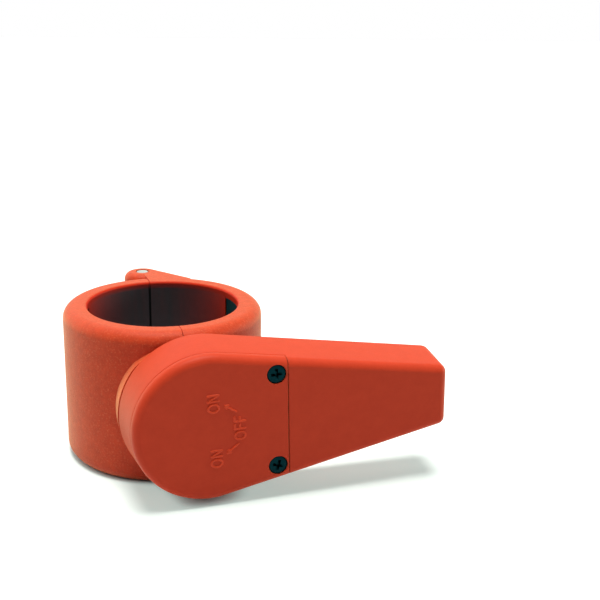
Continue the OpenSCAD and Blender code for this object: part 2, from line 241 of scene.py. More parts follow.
# %% Rubber and acetal
def moulded_soft(name, light, dark, roughness, ior, glint, bloom, depth):
    """Dull moulded rubber or acetal, clouded by a bloom of that size in mm."""
    material, tree, out = new_material(name)
    spot = add(tree, "ShaderNodeTexCoord").outputs["Object"]
    cloud = add(tree, "ShaderNodeTexNoise",
                {"Vector": spot, "Scale": per_mm(bloom), "Detail": 5.0, "Roughness": 0.6})
    tint = add(tree, "ShaderNodeValToRGB", {"Fac": cloud.outputs["Fac"]},
               stops=((0.3, dark), (0.7, light)))
    bump = add(tree, "ShaderNodeBump",
               {"Height": cloud.outputs["Fac"], "Strength": 0.5, "Distance": depth * MM})
    shader = add(tree, "ShaderNodeBsdfPrincipled",
                 {"Base Color": tint.outputs["Color"], "Roughness": roughness, "IOR": ior,
                  "Specular IOR Level": glint, "Normal": bump.outputs["Normal"]})
    tree.links.new(shader.outputs["BSDF"], out.inputs["Surface"])
    return material


# Nearly black with a green cast, and no shine.
epdm = moulded_soft("moulded_EPDM_rubber", "#033a40", "#022a2e", 0.75, 1.5, 0.12, 0.8, 0.05)
# Milky white with a waxy gleam.
acetal = moulded_soft("moulded_acetal", "#efece2", "#e6e1d4", 0.4, 1.48, 0.5, 3.0, 0.02)
print("made", epdm.name, "and", acetal.name)

# %% [markdown]
# ## Metals
# The hinge pin is cut from zinc-plated steel, and the cover screws are black-oxidised steel
# with an oily gloss. Inside the head, and out of sight while it is closed, are more steel
# parts and brass bearings. Tool marks could be drawn as rings about each axis, but at this
# size they only show as an uneven gloss, so one fine noise moves the colour, the gloss and
# the bump together.

# %% Metals
def turned_metal(name, light, dark, roughness, spacing):
    """Metal with fine tool marks of that spacing in mm in its gloss and colour."""
    material, tree, out = new_material(name)
    spot = add(tree, "ShaderNodeTexCoord").outputs["Object"]
    marks = add(tree, "ShaderNodeTexNoise",
                {"Vector": spot, "Scale": per_mm(spacing), "Detail": 4.0, "Roughness": 0.7})
    tint = add(tree, "ShaderNodeValToRGB", {"Fac": marks.outputs["Fac"]},
               stops=((0.3, dark), (0.7, light)))
    gloss = add(tree, "ShaderNodeMapRange",
                {"Value": marks.outputs["Fac"], "From Min": 0.3, "From Max": 0.7,
                 "To Min": roughness - 0.08, "To Max": roughness + 0.08})
    bump = add(tree, "ShaderNodeBump",
               {"Height": marks.outputs["Fac"], "Strength": 0.3, "Distance": 0.02 * MM})
    shader = add(tree, "ShaderNodeBsdfPrincipled",
                 {"Base Color": tint.outputs["Color"], "Metallic": 1.0,
                  "Roughness": gloss.outputs["Result"], "Normal": bump.outputs["Normal"]})
    tree.links.new(shader.outputs["BSDF"], out.inputs["Surface"])
    return material


# Pale and slightly clouded, with a broad soft glint.
zinc_steel = turned_metal("cut_zinc_plated_steel", "#b4bab6", "#9ea6a2", 0.42, 0.5)
# Blue-black and oily: dark but for small sharp glints.
black_steel = turned_metal("black_oxide_steel", "#08272c", "#051b1f", 0.34, 0.4)
# Yellow and bright, with fine turning marks.
brass = turned_metal("turned_brass", "#c9a85c", "#b8954a", 0.28, 0.5)
print("made", zinc_steel.name, black_steel.name, brass.name)

# %% [markdown]
# ## Building solids from rings
# Every piece here could be started from a cylinder and edited by hand. Moulded parts are
# easier to describe as a stack of outlines, though: one function lofts a list of rings
# into a closed skin, whether the rings are circles along an axis, the section of the ring
# turned step by step about the bore, or the outline of the lever shrinking towards its
# face. Holes and pockets are then cut with exact booleans. The work is done in
# millimetres, and a piece is brought to metres when it is finished.

# %% Loft helper
WELD = 2e-3


def welded(mesh):
    """Joins points that fall together, and turns all faces outwards."""
    skin = bmesh.new()
    skin.from_mesh(mesh)
    bmesh.ops.remove_doubles(skin, verts=skin.verts, dist=WELD)
    bmesh.ops.recalc_face_normals(skin, faces=skin.faces)
    skin.to_mesh(mesh)
    skin.free()
    return mesh


def loft(name, rings, joined=False):
    """Closed skin over equal rings of points, with flat ends, or joined end to end."""
    count = len(rings[0])
    points = [tuple(p) for ring in rings for p in ring]
    faces = []
    for i in range(len(rings) - (0 if joined else 1)):
        a, b = i * count, (i + 1) % len(rings) * count
        faces += [(a + j, a + (j + 1) % count, b + (j + 1) % count, b + j)
                  for j in range(count)]
    if not joined:
        faces += [tuple(range(count)), tuple(range(len(points) - count, len(points)))]
    mesh = bpy.data.meshes.new(name)
    mesh.from_pydata(points, [], faces)
    piece = bpy.data.objects.new(name, welded(mesh))
    scene.collection.objects.link(piece)
    return piece


def circle(radius, height, steps=96, centre=(0.0, 0.0)):
    """Ring of points about the local Z axis."""
    return [(centre[0] + radius * math.cos(2 * math.pi * k / steps),
             centre[1] + radius * math.sin(2 * math.pi * k / steps), height)
            for k in range(steps)]


print("points within", WELD, "mm of each other are joined")

# %% Move, cut and finish helpers
SHARP = math.radians(32)


def moved(piece, matrix):
    """Moves the mesh of a piece, so that its object stays at the origin."""
    piece.data.transform(matrix)
    if matrix.determinant() < 0:
        piece.data.flip_normals()
    return piece


def combine(piece, tool, how):
    """Exact boolean of two pieces. The tool is used up."""
    modifier = piece.modifiers.new("combine", "BOOLEAN")
    modifier.operation, modifier.solver, modifier.object = how, "EXACT", tool
    result = bpy.data.meshes.new_from_object(
        piece.evaluated_get(bpy.context.evaluated_depsgraph_get()))
    piece.modifiers.clear()
    spent = [piece.data, tool.data]
    piece.data = result
    result.name = piece.name
    bpy.data.objects.remove(tool)
    for mesh in spent:
        bpy.data.meshes.remove(mesh)
    return piece


def open_edges(piece):
    """Number of edges that don't join exactly two faces."""
    used = {}
    for face in piece.data.polygons:
        for key in face.edge_keys:
            used[key] = used.get(key, 0) + 1
    return sum(count != 2 for count in used.values())


def finish_piece(piece, material, body, slot, *replaced):
    """Brings a piece to metres, smooths it, and ties it to its body and its CAD nodes."""
    welded(piece.data).transform(Matrix.Scale(MM, 4))
    piece.data.materials.clear()
    piece.data.materials.append(material)
    piece.data.shade_smooth()
    piece.data.set_sharp_from_angle(angle=SHARP)
    even = piece.modifiers.new("even_normals", "WEIGHTED_NORMAL")
    even.keep_sharp = True
    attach(piece, body)
    if replaced:
        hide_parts(*replaced)
    print(piece.name, len(piece.data.polygons), "faces,", open_edges(piece), "open edges")


print("edges of more than", round(math.degrees(SHARP)), "degrees stay sharp")

# %% [markdown]
# ## The ring
# Each jaw is half of a ring, 50 mm in the bore and 8 mm in the wall, with a generous
# rounding on its outer rims and a small one at the bore. A full ring could be turned and
# sawn in two, but sawing leaves knife edges. The section is swept through half a turn
# instead, and its two end faces are drawn in at their borders, as a real moulding is.

# %% Half ring
BORE_R, RING_R, HALF_H = 25.0, 33.0, 25.4
RIM_ROUND, BORE_ROUND = 4.0, 1.0
SPLIT, SPLIT_SOFT = 0.07, 0.1
RING_STEPS, RING_MARGIN = 96, 0.6
SOFT_TURN = [math.radians(a) for a in (0, 30, 60, 90)]
MIRROR_X = Matrix.Scale(-1, 4, (1, 0, 0))


def arc(centre, radius, start, end, steps):
    """Points of an arc in a plane, angles in degrees."""
    angles = [math.radians(start + (end - start) * k / steps) for k in range(steps + 1)]
    return [(centre[0] + radius * math.cos(a), centre[1] + radius * math.sin(a))
            for a in angles]


def ring_section(inset=0.0):
    """Section of the ring as (radius, height) points, drawn in all round by inset."""
    rim, bore = RIM_ROUND - inset, BORE_ROUND - inset
    out_r, out_h = RING_R - RIM_ROUND, HALF_H - RIM_ROUND
    in_r, in_h = BORE_R + BORE_ROUND, HALF_H - BORE_ROUND
    return (arc((out_r, -out_h), rim, -90, 0, 12) + arc((out_r, out_h), rim, 0, 90, 12)
            + arc((in_r, in_h), bore, 90, 180, 5) + arc((in_r, -in_h), bore, 180, 270, 5))


def half_ring(name):
    """Half of the ring on the +X side, flat at the split with softened borders."""
    def flat_ring(x, inset, end):
        return [(x, end * math.sqrt(r * r - x * x), z) for r, z in ring_section(inset)]

    soft = [(SPLIT + SPLIT_SOFT * (1 - math.sin(a)), SPLIT_SOFT * (1 - math.cos(a)))
            for a in SOFT_TURN]
    rings = [flat_ring(x, inset, -1) for x, inset in reversed(soft)]
    margin = math.degrees(math.asin((SPLIT + SPLIT_SOFT) / BORE_R)) + RING_MARGIN
    for k in range(RING_STEPS + 1):
        a = math.radians(-90 + margin + (180 - 2 * margin) * k / RING_STEPS)
        rings.append([(r * math.cos(a), r * math.sin(a), z) for r, z in ring_section()])
    rings += [flat_ring(x, inset, 1) for x, inset in soft]
    return loft(name, rings)


jaw_right = half_ring("jaw_right_moulding")
jaw_left = moved(half_ring("jaw_left_moulding"), MIRROR_X)
print("half rings of", len(jaw_right.data.polygons), "faces each")

# %% [markdown]
# ## The boss
# On its front the ring swells into a flat boss, split like the ring, that the head of the
# lever lies on. It is round about the pivot, and trimmed at its sides to what the head
# covers, because the head is not centred on the pivot and can be locked to either side.
# Left of the head its wall shows as a thin crescent, and above it a dark gap is left. Each
# half is lofted, its front edge softened, hollowed to clear the bore, and joined to its
# jaw by a union.

# %% Boss
HEAD_X = 4.2
BOSS_ROUND, BOSS_FOOT_R, BOSS_FRONT_R = 21.9, 24.7, 25.1
BOSS_FROM, BOSS_FOOT, BOSS_SOFT = 10.0, 26.0, 0.15
# The flats of the boss and the hinge lie just inside the face of the split.
FLAT_X = SPLIT + 0.04
TO_FRONT = Matrix.Rotation(math.pi / 2, 4, "X")


def half_boss(side_r, inset, height):
    """Half of the outline of the boss, on the +X side."""
    side, round_r = side_r - inset, BOSS_ROUND - inset
    corner_x = (side ** 2 - round_r ** 2 - HEAD_X ** 2) / (2 * HEAD_X)
    corner = math.degrees(math.acos(corner_x / round_r))
    reach = math.degrees(math.acos((corner_x + HEAD_X) / side))
    top = math.degrees(math.acos(FLAT_X / round_r))
    outline = (arc((0, 0), round_r, -top, -corner, 24)[:-1]
               + arc((-HEAD_X, 0), side, -reach, reach, 60)
               + arc((0, 0), round_r, corner, top, 24)[1:])
    return [(x, y, height) for x, y in outline]


def boss(side):
    """Half of the boss for the jaw on that side, clear of the bore."""
    rings = [half_boss(BOSS_FOOT_R, 0, BOSS_FROM), half_boss(BOSS_FOOT_R, 0, BOSS_FOOT)]
    rings += [half_boss(BOSS_FRONT_R, BOSS_SOFT - dr, RING_R - BOSS_SOFT + dh)
              for dr, dh in arc((0, 0), BOSS_SOFT, 0, 90, 4)]
    made = moved(loft("boss", rings), TO_FRONT)
    inside = (BORE_R + RING_R) / 2
    combine(made, loft("bore_space", [circle(inside, -HALF_H), circle(inside, HALF_H)]),
            "DIFFERENCE")
    return moved(made, MIRROR_X) if side < 0 else made


combine(jaw_right, boss(1), "UNION")
combine(jaw_left, boss(-1), "UNION")
side_edge = BOSS_FOOT_R - HEAD_X
print("boss stands", round(RING_R - math.sqrt(RING_R ** 2 - side_edge ** 2), 1),
      "mm proud of the ring at its side")

# %% [markdown]
# ## The hinge
# The right jaw has a leaf with a knuckle at each end, flush with the end faces of the
# ring, and the left jaw has one between them. The ends of the barrel are rounded, and the
# same rounding runs along the straight edge of the leaf until it meets the ring. A bevel
# on the joined shape would break up where flat and round meet. So leaf and knuckle are
# lofted from the same levels, and their rounded edges run into each other.

# %% Hinge leaves and knuckles
HINGE_Y, BARREL_R, HINGE_ROUND = 40.0, 6.6, 2.8
KNUCKLE_HALF, KNUCKLE_GAP, KNUCKLE_SOFT = 12.5, 0.3, 0.25
LEAF_ANGLE, LEAF_ROOT_R = math.radians(30), 28.0
ROUND_STEPS = 8


def end_levels(low, high, low_round, high_round):
    """(height, drawn-in distance) pairs from low to high with both edges rounded."""
    levels = []
    for edge, sign, radius in ((low, 1, low_round), (high, -1, high_round)):
        turn = [(edge + sign * radius * (1 - math.cos(a)), radius * (1 - math.sin(a)))
                for a in (math.pi / 2 * k / ROUND_STEPS for k in range(ROUND_STEPS + 1))]
        levels += turn if sign > 0 else reversed(turn)
    return levels


def leaf(side, levels):
    """Leaf with its knuckle on that side, through the given levels."""
    foot = Vector((math.sin(LEAF_ANGLE), math.cos(LEAF_ANGLE))) * RING_R
    root = foot * LEAF_ROOT_R / RING_R
    to_pin = Vector((0, HINGE_Y)) - foot
    along = math.atan2(to_pin.y, to_pin.x) - math.asin(BARREL_R / to_pin.length)
    outward = Vector((math.sin(along), -math.cos(along)))
    tangent = Vector((0, HINGE_Y)) + outward * BARREL_R
    inner = [Vector((0, HINGE_Y)), Vector((FLAT_X, HINGE_Y - BARREL_R)),
             Vector((FLAT_X, LEAF_ROOT_R)), root]
    rings = [[(p.x, p.y, z) for p in inner + [foot - outward * d, tangent - outward * d]]
             for z, d in levels]
    made = loft("leaf", rings)
    barrel = loft("barrel", [circle(BARREL_R - d, z, centre=(0, HINGE_Y)) for z, d in levels])
    combine(made, barrel, "UNION")
    return moved(made, MIRROR_X) if side < 0 else made


inner_end = KNUCKLE_HALF + KNUCKLE_GAP
combine(jaw_right, leaf(1, end_levels(inner_end, HALF_H, KNUCKLE_SOFT, HINGE_ROUND)), "UNION")
combine(jaw_right, leaf(1, end_levels(-HALF_H, -inner_end, HINGE_ROUND, KNUCKLE_SOFT)), "UNION")
combine(jaw_left, leaf(-1, end_levels(-KNUCKLE_HALF, KNUCKLE_HALF, KNUCKLE_SOFT, KNUCKLE_SOFT)),
        "UNION")
print("hinge reaches", HINGE_Y + BARREL_R, "mm behind the bore axis")

# %% [markdown]
# ## Pockets and holes of the jaws
# The rubber pads sit in shallow pockets of the bore. The hinge pin is pressed through the
# outer knuckles and runs free in the middle one. Under the lever the right jaw has a
# round lug with a brass insert, which laps into a pocket of the left jaw, and the left
# jaw has a hole for the drive peg. Little of this shows, and it could be left out, but then
# the jaws would run through the parts that sit in them. So all of it is cut, at the sizes
# of the CAD solids.

# %% Cut the jaws
PAD_ANGLE, PAD_T, PAD_END = 38.6, 2.2, 2.6
POCKET_STEPS = 23
PIN_R, PIN_PRESSED, PIN_FREE = 2.4, 0.02, 0.05
LUG_R, LUG_BACK, LUG_CLEAR, LUG_LOW = 7.0, 27.6, 0.4, 0.01
INSERT_R, INSERT_FROM = 3.42, 28.0
PEG_REACH, PEG_R, PEG_FROM = 12.0, 2.27, 26.0
# How far cutters reach past a skin, and the gap that keeps two skins out of one plane.
CLEAR, CUT_PAST, HAIR = 4.0, 1.0, 0.02


def pad_pocket(side):
    """Space that a pad and its gap take in the jaw on that side."""
    half, high = math.radians(PAD_ANGLE / 2), HALF_H - PAD_END
    rings = []
    for k in range(POCKET_STEPS + 1):
        a = -half + 2 * half * k / POCKET_STEPS
        rings.append([(side * r * math.cos(a), r * math.sin(a), z) for r, z in
                      ((BORE_R - CUT_PAST, -high), (BORE_R + PAD_T, -high),
                       (BORE_R + PAD_T, high), (BORE_R - CUT_PAST, high))])
    return loft("pad_pocket", rings)


def pivot_plug(radius, start, end, x=0.0):
    """Round plug along the pivot axis, between two distances from the bore axis."""
    return moved(loft("plug", [circle(radius, start), circle(radius, end)]),
                 Matrix.Translation((x, 0, 0)) @ TO_FRONT)


def pin_plug(radius):
    """Plug for the hole of the hinge pin."""
    reach = HALF_H + CLEAR
    return loft("plug", [circle(radius, z, centre=(0, HINGE_Y)) for z in (-reach, reach)])


combine(jaw_right, pivot_plug(LUG_R, LUG_BACK, RING_R - LUG_LOW), "UNION")
combine(jaw_right, pad_pocket(1), "DIFFERENCE")
combine(jaw_right, pin_plug(PIN_R + PIN_PRESSED), "DIFFERENCE")
combine(jaw_right, pivot_plug(INSERT_R, INSERT_FROM - HAIR, RING_R + CLEAR), "DIFFERENCE")
combine(jaw_left, pad_pocket(-1), "DIFFERENCE")
combine(jaw_left, pin_plug(PIN_R + PIN_FREE), "DIFFERENCE")
combine(jaw_left, pivot_plug(LUG_R + LUG_CLEAR, LUG_BACK - LUG_CLEAR, RING_R + CLEAR),
        "DIFFERENCE")
combine(jaw_left, pivot_plug(PEG_R, PEG_FROM - HAIR, RING_R + CLEAR, -PEG_REACH), "DIFFERENCE")
finish_piece(jaw_right, abs_spark, "fixed_jaw", "red_plastic", "jaw_right")
finish_piece(jaw_left, abs_spark, "moving_jaw", "red_plastic", "jaw_left")

# %% [markdown]
# ## The faces with painted shade
# Only the bore and the faces of the split take painted shade, and their skin is smooth
# from the core of the tool. The shade could be worked out by place over the whole jaw, but
# then it would run on round the rims. So these faces get a finish of their own, and are
# picked by where they are and which way they look.

# %% Faces of the jaws that take painted shade
SHADED_R, SHADED_X = BORE_R + BORE_ROUND * 0.7, SPLIT + SPLIT_SOFT / 2
UPRIGHT = 0.8


def takes_painted_shade(face):
    """True for an upright face of the bore or of the split."""
    reach, beside = math.hypot(face.center.x, face.center.y), abs(face.center.x)
    return (abs(face.normal.z) < UPRIGHT and reach < RING_R * MM
            and (reach < SHADED_R * MM or beside < SHADED_X * MM))


# These faces take the finish with painted shade in the bore and the split.
for jaw in (jaw_right, jaw_left):
    jaw.data.materials.append(abs_bore_shade)
    shaded = [face for face in jaw.data.polygons if takes_painted_shade(face)]
    for face in shaded:
        face.material_index = 1
    print(jaw.name, "has", len(shaded), "worn faces")

# %% [markdown]
# ## The hinge pin
# The pin is a plain cut length of plated steel, chamfered at both ends and faced off
# slightly hollow, so its rim catches the light. A cylinder with a bevel would lack the
# hollow, so the pin is a stack of circles.

# %% Hinge pin
PIN_HALF, PIN_CHAMFER, PIN_DISH = 25.3, 0.5, 0.12
SMALL_STEPS = 64
# Radius and height, from the middle of the end face outwards.
pin_end = [(0.4, PIN_HALF - PIN_DISH), (1.4, PIN_HALF - PIN_DISH * 0.7),
           (PIN_R - PIN_CHAMFER - 0.1, PIN_HALF - 0.02), (PIN_R - PIN_CHAMFER, PIN_HALF),
           (PIN_R - PIN_CHAMFER + 0.1, PIN_HALF - 0.03), (PIN_R - 0.08, PIN_HALF - 0.4),
           (PIN_R, PIN_HALF - PIN_CHAMFER)]
hinge_pin = loft("hinge_pin_turned",
                 [circle(r, -z, SMALL_STEPS, (0, HINGE_Y)) for r, z in pin_end]
                 + [circle(r, z, SMALL_STEPS, (0, HINGE_Y)) for r, z in reversed(pin_end)])
finish_piece(hinge_pin, zinc_steel, "fixed_jaw", "bright_steel", "hinge_pin")

# %% [markdown]
# ## The grip pads
# Each pad is a strip of rubber glued into its pocket, with edges well rounded towards the
# bore so that a sleeve slides in. A box could be bent, but it is as easy to loft the
# rounded section of the strip round the bore and to draw it in at both ends.

# %% Grip pads
PAD_GAP, PAD_ROUND, PAD_TOUCH = 0.04, 0.35, 0.02
PAD_STEPS, PAD_EDGE_STEPS = 20, 6


def grip_pad(name, side):
    """Curved pad with rounded edges towards the bore."""
    half = math.radians(PAD_ANGLE / 2) - PAD_GAP / BORE_R
    high = HALF_H - PAD_END - PAD_GAP
    back, face = BORE_R + PAD_T - PAD_TOUCH, BORE_R + PAD_TOUCH
    turn = [math.pi / 2 * k / PAD_EDGE_STEPS for k in range(PAD_EDGE_STEPS + 1)]

    def section(a, lift):
        """Section at an angle; lift is how far the face has come up from its lowest."""
        top = face + PAD_ROUND - lift
        edge = [(top + min(PAD_ROUND, back - top) * (1 - math.sin(t)),
                 high - min(PAD_ROUND, back - top) * (1 - math.cos(t))) for t in turn]
        loop = ([(back, -high)] + [(r, -z) for r, z in reversed(edge)] + edge + [(back, high)])
        return [(side * r * math.cos(a), r * math.sin(a), z) for r, z in loop]

    end = [(-(half - PAD_ROUND * (1 - math.cos(t)) / BORE_R), PAD_ROUND * math.sin(t))
           for t in turn]
    inner = half - PAD_ROUND / BORE_R
    middle = [(-inner + 2 * inner * k / PAD_STEPS, PAD_ROUND) for k in range(1, PAD_STEPS)]
    stations = end + middle + [(-a, lift) for a, lift in reversed(end)]
    return loft(name, [section(a, lift) for a, lift in stations])


for name, side, body in (("grip_pad_right", 1, "fixed_jaw"), ("grip_pad_left", -1, "moving_jaw")):
    finish_piece(grip_pad(name + "_moulding", side), epdm, body, "pad_rubber", name)

# %% [markdown]
# ## The outline of the lever
# Seen from the front, the lever is a round head with two straight sides that run together
# to a blunt tip: the outline of a belt round one large and two small circles. Its walls
# lean in towards the face and end in a rounded edge, so every level has the same outline
# drawn in by some distance.

# %% Lever outline
HEAD_R, HEAD_STEPS = 25.0, 120
LEVER_END, TIP_HALF, TIP_R = 83.7, 12.0, 4.8
CORNER_R, CORNER_MIN, CORNER_STEPS = 4.2, 0.5, 16
LEVER_T, DRAFT, EDGE_ROUND = 17.3, 0.1, 2.7
LEVER_BACK, LEVER_REST = 33.3, math.radians(1.9)
SIDE_W = LEVER_T - EDGE_ROUND
TIP_AT = Vector((LEVER_END - TIP_R - HEAD_X, TIP_HALF - TIP_R))
SIDE_RISE = math.asin((HEAD_R - TIP_R) / TIP_AT.length) - math.atan2(TIP_AT.y, TIP_AT.x)
LEAN = 90 - math.degrees(SIDE_RISE)
ON_LEVER = (TO_FRONT @ Matrix.Translation((0, 0, LEVER_BACK))
            @ Matrix.Rotation(LEVER_REST, 4, "Z"))


def drawn_in(w):
    """How far the outline has drawn in at height w above the back of the lever."""
    if w <= SIDE_W:
        return DRAFT * w
    rise = min(1.0, (w - SIDE_W) / EDGE_ROUND)
    return DRAFT * SIDE_W + EDGE_ROUND * (1 - math.sqrt(1 - rise * rise))


def side_v(u, inset):
    """Distance of the straight side from the middle line at u along the arm."""
    return (HEAD_R - inset - (u - HEAD_X) * math.sin(SIDE_RISE)) / math.cos(SIDE_RISE)


def head_arc(inset):
    """Round of the head, from its upper to its lower straight side."""
    return arc((HEAD_X, 0), HEAD_R - inset, LEAN, 360 - LEAN, HEAD_STEPS)


def lever_outline(w, inset):
    """Outline of the whole lever at height w."""
    corner = max(CORNER_R - inset, CORNER_MIN)
    u = LEVER_END - inset - corner
    v = side_v(u, inset + corner)
    return [(x, y, w) for x, y in head_arc(inset)
            + arc((u, -v), corner, -LEAN, 0, CORNER_STEPS)
            + arc((u, v), corner, 0, LEAN, CORNER_STEPS)]


print("sides of the arm run together by", round(2 * math.degrees(SIDE_RISE), 1), "degrees")

# %% [markdown]
# ## The lever body
# The lever is one moulding: an arm to pull on, and a head that is a round pan for the cam
# plate. It could be put together from an arm and a cup, but then the seam between them
# would have to be smoothed away. So the skin is lofted whole, and the seat of the cover,
# the pan, the holes and the spiral slot for the drive peg are then cut out of it.

# %% Lever body
SEAM_W, SEAM_U = 13.8, 28.7
FLOOR_T, CAVITY_R = 3.5, 21.12
BACK_SOFT, SEAM_SOFT = 0.8, 0.3
SLEEVE_R, THRUST_R, THRUST_T = 4.52, 7.1, 0.75
CAM_SCREW_R, CAM_SCREW_TURNS = 12.5, [math.radians(a) for a in (-35, -90, -145)]
CAM_HOLE_R = 1.22
SLOT_HALF, SLOT_RISE, SLOT_TURN = 3.65, 2.98, 88.1
SLOT_STEPS, SLOT_END_STEPS = 44, 16
SCREW_U, SCREW_V = 25.0, 15.1
SCREW_HOLE_R, SCREW_HOLE_DEEP = 1.47, 9.0
PLUG_STEPS, FAR = 60, 60.0
lever_levels = [BACK_SOFT * (1 - math.cos(a)) for a in SOFT_TURN] + [6.0, 12.0]
lever_levels += [SIDE_W + EDGE_ROUND * math.sin(math.radians(a)) for a in range(0, 91, 9)]


def quarter(gap, radius):
    """Draw-in of a quarter round at a distance from its sharp edge."""
    rise = max(0.0, 1 - gap / radius)
    return radius * (1 - math.sqrt(1 - rise * rise))


def slab(u0, u1, v0, v1, w0, w1):
    """Rectangular cutter in lever coordinates."""
    return loft("slab", [[(u0, v0, w), (u1, v0, w), (u1, v1, w), (u0, v1, w)] for w in (w0, w1)])


def plug(radius, w0, w1, centre):
    """Round cutter in lever coordinates."""
    return loft("plug", [circle(radius, w, PLUG_STEPS, centre) for w in (w0, w1)])


def slot_outline():
    """Outline of the slot for the drive peg: a spiral that rises and falls again."""
    def at(turn, side):
        reach = PEG_REACH + SLOT_RISE * (1 - abs(turn - 90) / SLOT_TURN) + side
        return reach * math.cos(math.radians(turn)), reach * math.sin(math.radians(turn))

    def end(turn, start):
        return arc(at(turn, 0), SLOT_HALF, start, start + 180, SLOT_END_STEPS)[1:-1]

    turns = [90 + SLOT_TURN * (2 * k / SLOT_STEPS - 1) for k in range(SLOT_STEPS + 1)]
    first, last = turns[0], turns[-1]
    return ([at(t, SLOT_HALF) for t in turns] + end(last, last)
            + [at(t, -SLOT_HALF) for t in reversed(turns)] + end(first, first + 180))


lever_body = loft("lever_moulding", [lever_outline(w, drawn_in(w) + quarter(w, BACK_SOFT))
                                     for w in lever_levels])
combine(lever_body, slab(-FAR, SEAM_U, -FAR, FAR, SEAM_W, FAR), "DIFFERENCE")
combine(lever_body, plug(CAVITY_R, FLOOR_T, FAR, (HEAD_X, 0)), "DIFFERENCE")
combine(lever_body, plug(SLEEVE_R, -CLEAR, FAR, (0, 0)), "DIFFERENCE")
combine(lever_body, plug(THRUST_R, -CLEAR, THRUST_T, (0, 0)), "DIFFERENCE")
for v in (-SCREW_V, SCREW_V):
    combine(lever_body, plug(SCREW_HOLE_R, SEAM_W - SCREW_HOLE_DEEP, FAR, (SCREW_U, v)),
            "DIFFERENCE")
for turn in CAM_SCREW_TURNS:
    at = (CAM_SCREW_R * math.cos(turn), CAM_SCREW_R * math.sin(turn))
    combine(lever_body, plug(CAM_HOLE_R, -CLEAR, FLOOR_T + CUT_PAST, at), "DIFFERENCE")
combine(lever_body, loft("slot", [[(u, v, w) for u, v in slot_outline()]
                                  for w in (-CLEAR, FLOOR_T + CUT_PAST)]), "DIFFERENCE")
print("lever body has", len(lever_body.data.polygons), "faces before its ribs")

# %% [markdown]
# ## The ribbed back of the arm
# A thick solid arm would sink and warp as it cools, so such a lever is cored out from
# behind, and only thin ribs are left between the cells. An array of boxes would do for a
# straight arm. This one tapers, so each cell is worked out between the ribs that border
# it, with round corners and walls that lean as those of the tool do, and cut by itself.

# %% Ribbed back of the arm
ARM_WALL, RIB_T, ARM_SKIN = 2.6, 1.8, 3.0
CELL_ROWS, CELL_COLUMNS = 5, 3
CELLS_FROM, CELLS_TO = 31.7, 79.37
CELL_PITCH = (CELLS_TO - CELLS_FROM + RIB_T) / CELL_ROWS
CELL_CORNER, CORE_STEPS, CORE_LEAN = 0.8, 5, 0.25


def cell_outline(row, column, shrink):
    """Rounded outline of one cell between the ribs."""
    u0 = CELLS_FROM + row * CELL_PITCH
    u1 = u0 + CELL_PITCH - RIB_T

    def rib(u, k):
        return (side_v(u, 0) - ARM_WALL + RIB_T / 2) * (2 * k / CELL_COLUMNS - 1)

    corners = [Vector((u0, rib(u0, column) + RIB_T / 2)),
               Vector((u1, rib(u1, column) + RIB_T / 2)),
               Vector((u1, rib(u1, column + 1) - RIB_T / 2)),
               Vector((u0, rib(u0, column + 1) - RIB_T / 2))]
    outline = []
    for k, corner in enumerate(corners):
        back = (corners[k - 1] - corner).normalized()
        on = (corners[(k + 1) % 4] - corner).normalized()
        middle = corner + (back + on) * (CELL_CORNER + shrink)
        start = math.degrees(math.atan2(-on.y, -on.x))
        outline += arc(middle, CELL_CORNER, start, start + 90, CORE_STEPS)
    return outline


for row in range(CELL_ROWS):
    for column in range(CELL_COLUMNS):
        cell = loft("cell", [[(u, v, w) for u, v in cell_outline(row, column, shrink)]
                             for w, shrink in ((-CUT_PAST, 0), (LEVER_T - ARM_SKIN, CORE_LEAN))])
        combine(lever_body, cell, "DIFFERENCE")
print("cut", CELL_ROWS * CELL_COLUMNS, "cells, each", round(CELL_PITCH - RIB_T, 1), "mm long")

# %% [markdown]
# ## The borders of the seat
# Where the cover meets the lever, both mouldings have a slightly rounded edge, and together
# they make the groove that shows as a seam. A bevel modifier would round every sharp edge
# of the lever, so only the edges on the border of the seat are picked out and bevelled.

# %% Soften the borders of the cover seat
BEVEL_FROM, NEAR, RIM_WIDE = math.radians(35), 0.01, 1.2


def soften(piece, wanted, width):
    """Bevels the sharp edges whose two ends both pass the test."""
    skin = bmesh.new()
    skin.from_mesh(piece.data)
    edges = [e for e in skin.edges if len(e.link_faces) == 2
             and e.calc_face_angle(0) > BEVEL_FROM and all(wanted(v.co) for v in e.verts)]
    bmesh.ops.bevel(skin, geom=edges, offset=width, offset_type="OFFSET", segments=2,
                    profile=0.5, affect="EDGES", clamp_overlap=True)
    skin.to_mesh(piece.data)
    skin.free()
    return len(edges)


def on_seat_border(p):
    """True on the outer rim of the seat and on the step at the end of the arm."""
    rim = abs(p.z - SEAM_W) < NEAR and math.hypot(p.x - HEAD_X, p.y) > CAVITY_R + RIM_WIDE
    step = abs(p.x - SEAM_U) < NEAR and p.z > SEAM_W + NEAR
    return rim or step


print("softened", soften(lever_body, on_seat_border, SEAM_SOFT), "edges of the seat")
moved(lever_body, ON_LEVER)
finish_piece(lever_body, abs_satin, "lever", "red_plastic", "lever_body")

# %% [markdown]
# ## The cover
# The front of the head is a separate moulding that closes the pan, held by two screws. It
# continues the walls and the rounded edge of the lever, so it is lofted from the same
# outline, cut short at the straight seam. Its lower and its straight edges are softened
# in the loft itself. A lip under it centres it in the pan.

# %% Cover
COVER_END, COVER_FROM, COVER_SOFT = 28.5, 13.82, 0.42
LIP_OUT, LIP_IN, LIP_FROM, LIP_INTO = 20.82, 19.42, 11.8, 0.3
SEAT_W, SEAT_R, SEAT_EDGE, SEAT_FLARE = 15.45, 3.1, 0.12, 0.14
SHANK_R = 1.6


